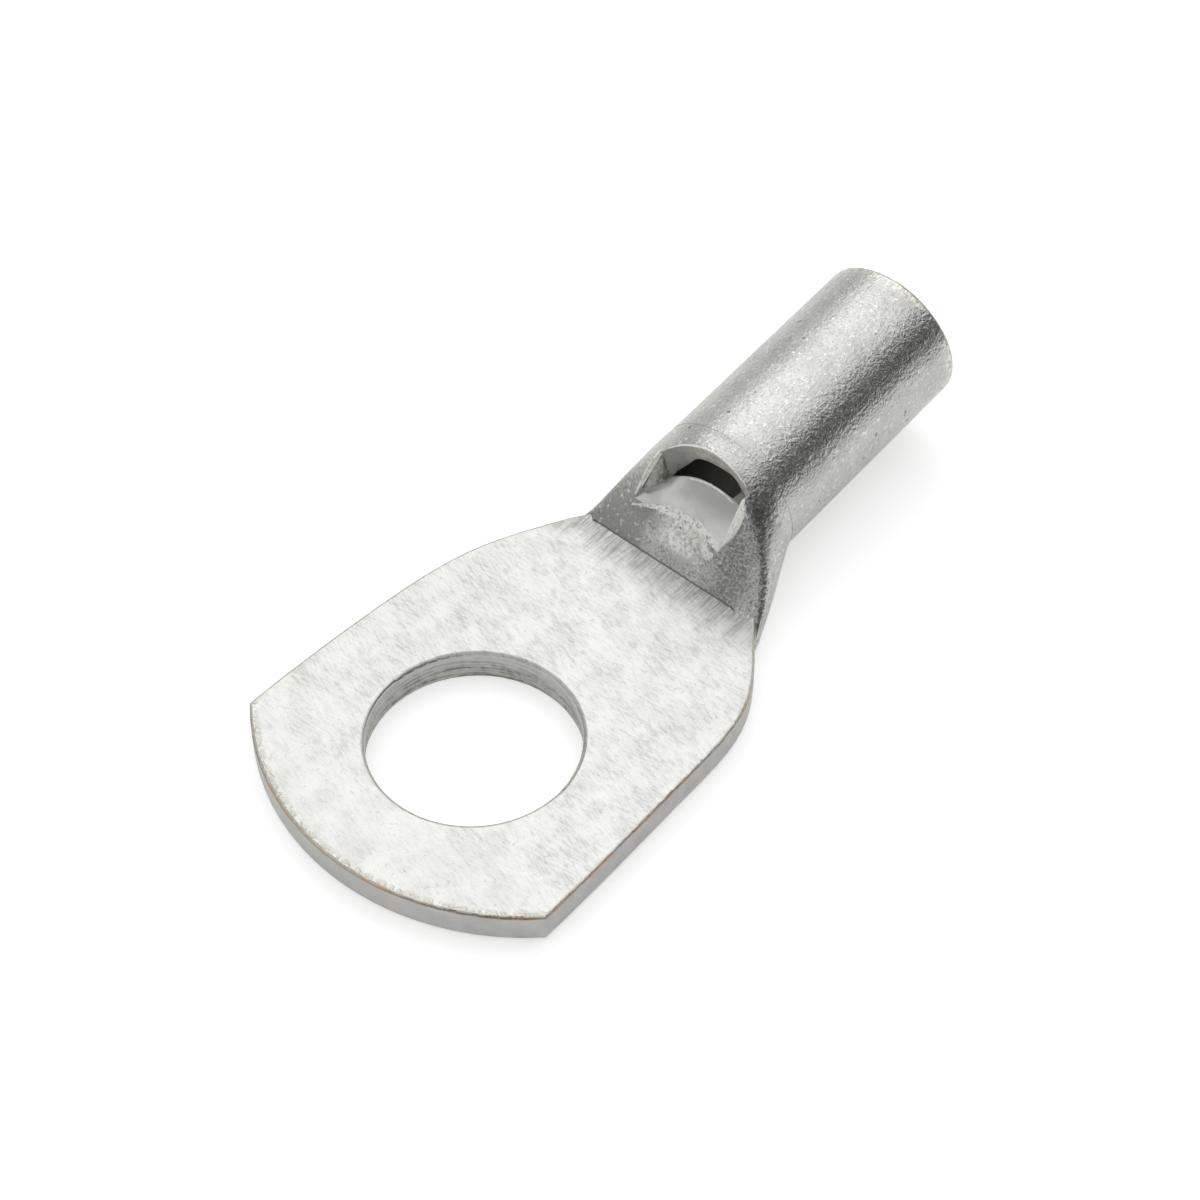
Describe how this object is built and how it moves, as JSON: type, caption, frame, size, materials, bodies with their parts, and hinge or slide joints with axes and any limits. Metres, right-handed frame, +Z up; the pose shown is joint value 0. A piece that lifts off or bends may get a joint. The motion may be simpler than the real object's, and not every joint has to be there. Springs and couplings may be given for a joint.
{
  "type": "cable lug",
  "caption": "Tube cable lug: a flat palm with a stud hole, pressed from a short round barrel that takes a bare wire end, with an inspection window.",
  "frame": {"origin": "centre of the stud hole at the palm's underside", "axes": "+X along the lug from the stud hole towards the barrel's mouth, +Z up through the stud hole, away from the surface that the palm is bolted to"},
  "size_m": [0.0209, 0.0096, 0.0047],
  "materials": {
    "tinned_copper": "satin tin plate on copper"
  },
  "bodies": {
    "root": {"lug": "tinned_copper"}
  },
  "joints": []
}
